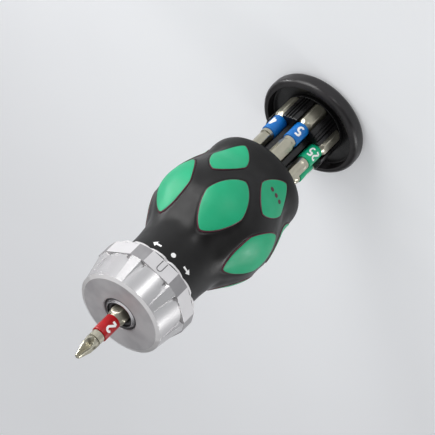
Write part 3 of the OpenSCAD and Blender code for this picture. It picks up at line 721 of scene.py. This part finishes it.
# Cap and magazine
CAP_RIM_R, CAP_RIM_EDGE, CAP_RIM_LIFT, CAP_RIM_TOP = 18.3, 2.4, 0.45, 7.2
CAP_DISC = [(0.0, 0.6), (10.8, 0.6), (12.0, 0.5), (12.8, 0.15), (13.4, 0.0), (16.6, 0.0), (17.1, 0.12),
            (17.25, 0.5), (17.3, 3.6), (6.2, 3.6), (6.0, 3.5), (0.0, 3.5)]
BLOCK_R, BLOCK_EDGE, BLOCK_LEVELS, BLOCK_TOP = 12.6, 0.15, (5.0, 16.75), 17.05
POCKET_PLAY = 0.08
BLOCK_GROOVES, BLOCK_GROOVE_HALF, BLOCK_GROOVE_DEPTH = (-5.5, 0, 5.5), 0.35, 0.5
BLOCK_BASE = [(0, 3.65), (12.4, 3.65), (12.6, 3.85), (12.6, 4.9), (12.5, 5.0), (0, 5.0)]
POST = [(0, 2.0), (5.9, 2.0), (5.9, 3.66), (5.3, 3.7), (5.3, 17.2), (6.15, 17.8), (6.15, 39.0), (5.3, 39.6),
        (5.3, 41.3), (5.1, 41.6), (0, 41.6)]
FIN = [(5.6, -1.5), (7.9, -1.25), (8.15, -1.0), (8.15, 1.0), (7.9, 1.25), (5.6, 1.5)]
FIN_LEVELS, FIN_TOP = (16.9, 38.6), 38.9


def build_cap():
    verts, faces = lathe(CAP_DISC)
    add_mesh("cap_disc", verts, faces, [HARD_BLACK], body="magazine", slot="hard_black",
             replaces=("magazine_cap",), crisp=35)
    high = CAP_RIM_TOP
    rim = [(17.35, CAP_RIM_LIFT), (17.8, CAP_RIM_LIFT)]
    rim += arc(CAP_RIM_R, CAP_RIM_LIFT + CAP_RIM_EDGE, CAP_RIM_EDGE, -90, 0, 10)
    rim += arc(CAP_RIM_R, high - CAP_RIM_EDGE, CAP_RIM_EDGE, 0, 90, 10)
    rim += [(18.1, high - 0.02), (17.95, high - 0.15), (17.9, high - 0.4), (17.9, 4.1), (17.8, 3.75),
            (17.35, 3.65)]
    verts, faces = lathe(rim, 160)
    add_mesh("cap_rim", verts, faces, [CAP_GREY], body="magazine", slot="cap_grey",
             replaces=("cap_grip",), crisp=35)


def pocket_turn(i):
    return FIRST_POCKET + 360 / POCKET_COUNT * i


def swung(points, deg):
    """Flat points turned about the origin"""
    c, s = polar(1, deg)
    return [(x * c - y * s, x * s + y * c) for x, y in points]


def raised(outline, levels, top, share):
    """A block over a flat outline, drawn in to that share at its top"""
    rings = [[(x, y, z) for x, y in outline] for z in levels]
    return loft(rings + [[(x * share, y * share, top) for x, y in outline]])


def build_magazine():
    """Blocks with bit pockets between them and three grooves on each back, and fins along the post"""
    half = BIT_AF / 2 + POCKET_PLAY
    corner = half / math.cos(math.radians(30))
    start = (corner - half) / math.tan(math.radians(30))
    pocket = [(BIT_CIRCLE_R + x, y) for x, y in (
        (start, -half), (0, -corner), (-half, -corner / 2), (-half, corner / 2), (0, corner), (start, half))]
    mouth = math.degrees(math.asin(half / BLOCK_R))
    wide = math.degrees(BLOCK_GROOVE_HALF / BLOCK_R)
    outline, fins = [], []
    for i in range(POCKET_COUNT):
        turn, middle = pocket_turn(i), pocket_turn(i + 0.5)
        outline += swung(pocket, turn)
        outline.append(polar(BLOCK_R - BLOCK_EDGE, turn + mouth))
        for groove in BLOCK_GROOVES:
            for share, depth in ((-1, 0), (-0.8, BLOCK_GROOVE_DEPTH), (0.8, BLOCK_GROOVE_DEPTH), (1, 0)):
                outline.append(polar(BLOCK_R - depth, middle + groove + wide * share))
        outline.append(polar(BLOCK_R - BLOCK_EDGE, pocket_turn(i + 1) - mouth))
        fins.append(raised(swung(FIN, middle), FIN_LEVELS, FIN_TOP, 0.97))
    blocks = raised(outline, BLOCK_LEVELS, BLOCK_TOP, 0.985)
    verts, faces = merged(blocks, lathe(BLOCK_BASE, 96), lathe(POST, 64), *fins)
    add_mesh("magazine_blocks", verts, faces, [HARD_BLACK], body="magazine", slot="hard_black",
             replaces=("magazine_core",), crisp=30)


# Bits, standing on the height zero with the blade upwards
BIT_STEPS = 48
# Length of the shank's rounded end and the radius that it comes down to
SHANK_ROUND, SHANK_END_R = 1.7, 2.55
HEX_SIZES = {"large": 5.0, "small": 4.0}
LOBE_SIZES = {"large": 2.45, "small": 1.95}
LOBE_DEPTH, LOBE_POWER = 0.19, 1.15
# The cross blade: length of its collar, radii of groove, ring and wings, and the wings' half width
CROSS_COLLAR, CROSS_GROOVE_R, CROSS_RING_R, CROSS_R, CROSS_END_R = 1.2, 1.9, 2.55, 2.5, 0.95
WING_HALF = 0.34
WING_ROOT, WING_POWER, CROSS_TAPER, CROSS_ROWS = 1.48, 8, 0.42, 24
DRIVER_CROSS_TURN, CROSS_TURN = 56, 45


def hexagon(af, z, turn, limit=None):
    """A hexagon outline, held inside a circle where a limit is given"""
    out = []
    for i in range(BIT_STEPS):
        deg = 360 * i / BIT_STEPS
        r = af / 2 / math.cos(math.radians((deg - turn + 30) % 60 - 30))
        if limit is not None:
            r = min(r, limit)
        out.append((*polar(r, deg), z))
    return out


def circle(r, z):
    return [(*polar(r, 360 * i / BIT_STEPS), z) for i in range(BIT_STEPS)]


def shank_rings(turn):
    corner = BIT_AF / 2 / math.cos(math.radians(30))
    top = SHANK_LEN - SHANK_ROUND
    rings = [hexagon(BIT_AF, 0.0, turn, corner - 0.7), hexagon(BIT_AF, 0.35, turn, corner - 0.35),
             hexagon(BIT_AF, 0.7, turn), hexagon(BIT_AF, top, turn)]
    for k in range(1, 7):
        t = k / 6
        rings.append(hexagon(BIT_AF, top + SHANK_ROUND * t, turn, corner + (SHANK_END_R - corner) * t))
    return rings


def neck_rings():
    band_end = BAND_Z + BAND_LEN
    return [circle(2.35, SHANK_LEN + 0.05), circle(NECK_R, SHANK_LEN + 0.12),
            circle(NECK_R, band_end + 0.02), circle(2.38, band_end + 0.08),
            circle(COLLAR_R, band_end + 0.22), circle(COLLAR_R, COLLAR_END - 0.3)]


def hex_blade(af, turn):
    corner = af / 2 / math.cos(math.radians(30))
    rings = [circle(COLLAR_R, COLLAR_END)]
    for k in range(5):
        t = k / 4
        limit = COLLAR_R + (max(corner, COLLAR_R) - COLLAR_R) * t
        rings.append(hexagon(af, COLLAR_END + 0.15 + 1.1 * t, turn, limit))
    return rings + [hexagon(af, BIT_LEN - 0.5, turn), hexagon(af, BIT_LEN - 0.2, turn, corner - 0.18),
                    hexagon(af * 0.95, BIT_LEN, turn, corner - 0.45)]


def lobe(r, z, deep=1.0):
    """A six-lobed star of outer radius r"""
    out = []
    for i in range(BIT_STEPS):
        deg = 360 * i / BIT_STEPS
        wave = 0.5 - 0.5 * math.cos(math.radians(6 * deg))
        out.append((*polar(r * (1 - LOBE_DEPTH * deep * wave ** LOBE_POWER), deg), z))
    return out


def lobe_blade(r):
    rings = [circle(COLLAR_R, COLLAR_END)]
    for k in range(5):
        t = k / 4
        rings.append(lobe(COLLAR_R + (r - COLLAR_R) * t, COLLAR_END + 0.1 + 1.2 * t, t))
    return rings + [lobe(r, BIT_LEN - 0.4), lobe(r - 0.08, BIT_LEN - 0.15), lobe(r - 0.3, BIT_LEN)]


def cross_section(r, h, z, turn):
    """A circle with four right-angled channels, which leave wings of half width h"""
    quarter, diagonal = BIT_STEPS // 4, math.sin(math.radians(45))
    end = math.degrees(math.asin(min(h / r, diagonal)))
    corner = h * math.sqrt(2) if h / r < diagonal else r
    out = []
    for q in range(4):
        for k in range(quarter):
            # Both halves of a quarter are alike: three steps on the wing's end, three down its side
            step = min(k, quarter - k)
            if step <= 3:
                size, deg = r, end * step / 3
            else:
                t = (step - 3) / 3
                x, y = (a * (1 - t) + b * t for a, b in zip(polar(r, end), polar(corner, 45)))
                size, deg = math.hypot(x, y), math.degrees(math.atan2(y, x))
            out.append((*polar(size, turn + 90 * q + (deg if 2 * k <= quarter else 90 - deg)), z))
    return out


def cross_blade(turn):
    """A plain collar, a groove and then four thin wings that taper to a blunt point"""
    neck, end = COLLAR_END + CROSS_COLLAR, BIT_LEN
    rings = [circle(COLLAR_R, neck), circle(CROSS_GROOVE_R, neck + 0.08), circle(CROSS_GROOVE_R, neck + 0.34),
             circle(CROSS_RING_R, neck + 0.42), circle(CROSS_RING_R, neck + 0.6)]
    first, last, taper = neck + 0.68, end - 0.35, neck + CROSS_TAPER * (end - neck)
    for k in range(CROSS_ROWS + 1):
        t = k / CROSS_ROWS
        z = first + (last - first) * t
        r = CROSS_R if z < taper else CROSS_R + (CROSS_END_R - CROSS_R) * (z - taper) / (last - taper)
        rings.append(cross_section(r, WING_HALF + WING_ROOT * (1 - t) ** WING_POWER, z, turn))
    return rings + [cross_section(0.62, WING_HALF, end - 0.1, turn), cross_section(0.4, 0.28, end, turn)]


# Bit, its band, its pocket (None in the socket), the band's paint and slot, and its figures
BITS = [
    ("hex_bit_large", "hex_band_large", 0, BAND_BLUE, "band_blue", "5"),
    ("hex_bit_small", "hex_band_small", 1, BAND_BLUE, "band_blue", "4"),
    ("cross_bit_large", "cross_band_large", 3, BAND_RED, "band_red", "3"),
    ("lobe_bit_small", "lobe_band_small", 4, BAND_GREEN, "band_green", "20"),
    ("lobe_bit_large", "lobe_band_large", 5, BAND_GREEN, "band_green", "25"),
    ("driver_bit", "driver_band", None, BAND_RED, "band_red", "2"),
]
# Azimuths that the figures on the bands face, where it isn't the pocket's own
FIGURE_TURNS = {None: 243, 0: 265, 1: 312, 5: 255}
# Height, width and line of the figures, for one and for two of them
FIGURE_SIZES = {1: (3.9, 1.75, 0.85), 2: (3.6, 1.5, 0.7)}
FIGURE_PITCH, FIGURE_LIFT, FIGURE_DEPTH = 2.4, 0.03, 0.1
BAND_EDGE = 0.28


def band_mesh():
    inner, outer = NECK_R + 0.05, BAND_R - BAND_EDGE
    z0, z1 = BAND_Z, BAND_Z + BAND_LEN
    prof = [(inner, z0), (outer, z0)] + arc(outer, z0 + BAND_EDGE, BAND_EDGE, -70, -10, 4)
    prof += arc(outer, z1 - BAND_EDGE, BAND_EDGE, 10, 70, 4) + [(outer, z1), (inner, z1)]
    return lathe(prof, 64)


def build_socket_rim():
    """A raised rim round the bit socket's mouth, with a dark land and an outward slope painted light as a
    highlight
    """
    z = FACE_Z - 0.6
    rim = [(4.95, z - 0.02), (6.42, z - 0.02), (6.42, z + 0.05), (6.3, z + 0.12), (5.92, z + 0.14),
           (5.4, z + 0.7), (5.22, z + 0.74), (5.1, z + 0.66)]
    # The slope's faces take the light steel, a painted highlight all round
    steps, painted_highlight = 128, [0, 0, 0, 0, 1, 1, 0, 0]
    verts, faces = lathe(rim, steps)
    add_mesh("socket_rim", verts, faces, [DARK_STEEL, RIM_HIGHLIGHT_STEEL], painted_highlight * steps, body="spindle_unit",
             slot="dark_steel", crisp=30)


def build_bits():
    for name, band_name, place, paint, slot, figures in BITS:
        kind, size = name.split("_")[0], name.split("_")[-1]
        if place is None:
            body, turn, cross_turn, spot = "bit_in_socket", 0.0, DRIVER_CROSS_TURN, (0, 0, DRIVER_Z)
        else:
            turn = pocket_turn(place)
            body, cross_turn, spot = "magazine", CROSS_TURN, (*polar(BIT_CIRCLE_R, turn), BIT_SEAT_Z + BIT_LIFT)
        rings = shank_rings(turn) + neck_rings()
        if kind == "hex":
            rings += hex_blade(HEX_SIZES[size], turn)
        elif kind == "lobe":
            rings += lobe_blade(LOBE_SIZES[size])
        else:
            rings += cross_blade(turn + cross_turn)
        mesh = placed(loft(rings), spot)
        add_mesh("bit_" + name, *mesh, [BIT_STEEL], body=body, slot="bit_steel", replaces=(name,), crisp=24)
        mesh = placed(band_mesh(), spot)
        add_mesh("sleeve_" + band_name, *mesh, [paint], body=body, slot=slot, replaces=(band_name,), crisp=40)
        # The figures stand upright with the blade upwards
        count, shapes = len(figures), []
        for k, d in enumerate(figures):
            shift = (k - (count - 1) / 2) * FIGURE_PITCH
            shapes += [[(x + shift, y) for x, y in line] for line in digit(d, *FIGURE_SIZES[count])]
        facing = FIGURE_TURNS.get(place, turn)
        mark = wrapped(shapes, lambda z: BAND_R, facing, BAND_Z + BAND_LEN / 2, FIGURE_LIFT, FIGURE_DEPTH)
        mark = placed(mark, spot)
        add_mesh("figures_" + band_name, *mark, [WHITE], body=body, slot=slot, crisp=40)


def paint_nodes():
    """CAD nodes that stay in view get the same procedural materials by their slots"""
    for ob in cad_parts.values():
        for s in ob.material_slots:
            base = s.material.name.split(".")[0] if s.material else ""
            s.material = SLOTS.get(base, HARD_BLACK)


build_grip()
build_pads("front", "grip_pads_front")
build_pads("rear", "grip_pads_rear")
build_neck_marks()
build_pad_marks()
build_ring()
build_index_mark()
build_cap()
build_magazine()
build_socket_rim()
build_bits()
paint_nodes()

# Camera at the photograph's viewing angle, in degrees, millimetres and pixels of the photograph
TILT, ROLL, NEAREST = 55.6, 44.62, 265.3
SENSOR, PHOTO_SIZE, PHOTO_FOCAL = 36, 435, 2000
DISTANCE, FOCAL = 701.8, PHOTO_FOCAL / PHOTO_SIZE * SENSOR
CAMERA_RIGHT, CAMERA_UP = -1.014, -0.853
MIDDLE = Vector((0, 0, 61.92))
ct, st = polar(1, TILT)
ca, sa = polar(1, ROLL)
along = Vector((-ca * st, -sa * st, ct))
across = Vector((ca * ct, sa * ct, st))
beside = Vector((sa, -ca, 0))
z_axis = Vector((0, 0, 1))
near_axis = Vector((*polar(1, NEAREST), 0))
side_axis = near_axis.cross(z_axis)
right, up, toward = (along[k] * z_axis + across[k] * near_axis + beside[k] * side_axis for k in range(3))


def seen(x, y, z):
    """A point right of, above and in front of the tool's middle as the camera sees it, in metres"""
    return (MIDDLE + x * right + y * up + z * toward) * MM


camera = bpy.data.objects.new("camera", bpy.data.cameras.new("camera"))
bpy.context.scene.collection.objects.link(camera)
camera.data.sensor_width = SENSOR
camera.data.lens = FOCAL
camera.data.clip_start = 0.01
camera.data.clip_end = 20
place = seen(CAMERA_RIGHT, CAMERA_UP, DISTANCE)
camera.matrix_world = Matrix((
    (right.x, up.x, toward.x, place.x),
    (right.y, up.y, toward.y, place.y),
    (right.z, up.z, toward.z, place.z),
    (0, 0, 0, 1),
))
bpy.context.scene.camera = camera


# Light
def lamp(name, spot, size, power, spread, aim):
    """A rectangular lamp; spot and aim in metres, size in millimetres, power in watts, spread in degrees"""
    data = bpy.data.lights.new(name, "AREA")
    data.shape = "RECTANGLE"
    data.size, data.size_y = size[0] * MM, size[1] * MM
    data.energy = power
    data.spread = math.radians(spread)
    ob = bpy.data.objects.new(name, data)
    bpy.context.scene.collection.objects.link(ob)
    ob.location = spot
    ob.visible_camera = False
    ob.rotation_euler = (aim - spot).to_track_quat("-Z", "Y").to_euler()


def round_about(deg, distance, height):
    """A point at that azimuth, distance from the tool's axis and height, in metres"""
    return Vector((*polar(distance, deg), height)) * MM


TOOL_MIDDLE, RING_MIDDLE = MIDDLE * MM, Vector((0, 0, 110)) * MM
lamp("key", seen(-300, 420, 420), (220, 300), 0.47, 90, TOOL_MIDDLE)
lamp("fill", round_about(338, 520, 190), (200, 280), 0.26, 90, TOOL_MIDDLE)
lamp("front", round_about(268, 420, 80), (34, 110), 0.027, 60, RING_MIDDLE)
lamp("side", round_about(182, 420, 95), (90, 150), 0.095, 60, RING_MIDDLE)
lamp("edge", round_about(8, 420, 90), (50, 120), 0.06, 60, RING_MIDDLE)

# Height on the sky's ramp and colour there
SKY = ((0.0, (0.04, 0.041, 0.043)), (0.9, (0.95, 0.96, 0.98)), (0.3, (0.1, 0.101, 0.103)),
       (0.5, (0.3, 0.303, 0.309)), (0.62, (0.75, 0.7575, 0.7725)))
SKY_STRENGTH = 0.75
world = bpy.data.worlds.new("studio")
bpy.context.scene.world = world
world.use_nodes = True
tree = world.node_tree
back = tree.nodes["Background"]
way = tree.nodes.new("ShaderNodeTexCoord")
split = tree.nodes.new("ShaderNodeSeparateXYZ")
sky = tree.nodes.new("ShaderNodeValToRGB")
for stop, (height, colour) in zip(sky.color_ramp.elements, SKY):
    stop.position = height
    stop.color = (*colour, 1)
for height, colour in SKY[2:]:
    sky.color_ramp.elements.new(height).color = (*colour, 1)
tree.links.new(way.outputs["Generated"], split.inputs[0])
tree.links.new(split.outputs[2], sky.inputs["Fac"])
tree.links.new(sky.outputs["Color"], back.inputs["Color"])
back.inputs["Strength"].default_value = SKY_STRENGTH

# Floor, which looks pale to the camera and in reflections without lighting the tool
FLOOR_HALF, FLOOR_GLOW = 4.0, 0.22
me = bpy.data.meshes.new("floor")
corners = [(x * FLOOR_HALF, y * FLOOR_HALF, 0) for x, y in ((-1, -1), (1, -1), (1, 1), (-1, 1))]
me.from_pydata(corners, [], [(0, 1, 2, 3)])
floor_paint = Paint("floor", (226, 227, 229), 0.7, spec=0.2)
floor_paint.tint((222, 223, 225), 6)
path = floor_paint.node("ShaderNodeLightPath")
rays = path.outputs["Is Camera Ray"]
for ray in ("Is Glossy Ray", "Is Transmission Ray"):
    total = floor_paint.node("ShaderNodeMath", operation="ADD", use_clamp=True)
    floor_paint.link(rays, total.inputs[0])
    floor_paint.link(path.outputs[ray], total.inputs[1])
    rays = total.outputs[0]
glow = floor_paint.node("ShaderNodeMath", operation="MULTIPLY")
floor_paint.link(rays, glow.inputs[0])
glow.inputs[1].default_value = FLOOR_GLOW
floor_paint.bsdf.inputs["Emission Color"].default_value = linear((240, 241, 243))
floor_paint.link(glow.outputs[0], floor_paint.bsdf.inputs["Emission Strength"])
me.materials.append(floor_paint.mat)
floor = bpy.data.objects.new("floor", me)
bpy.context.scene.collection.objects.link(floor)

bpy.context.scene.view_settings.view_transform = "Standard"
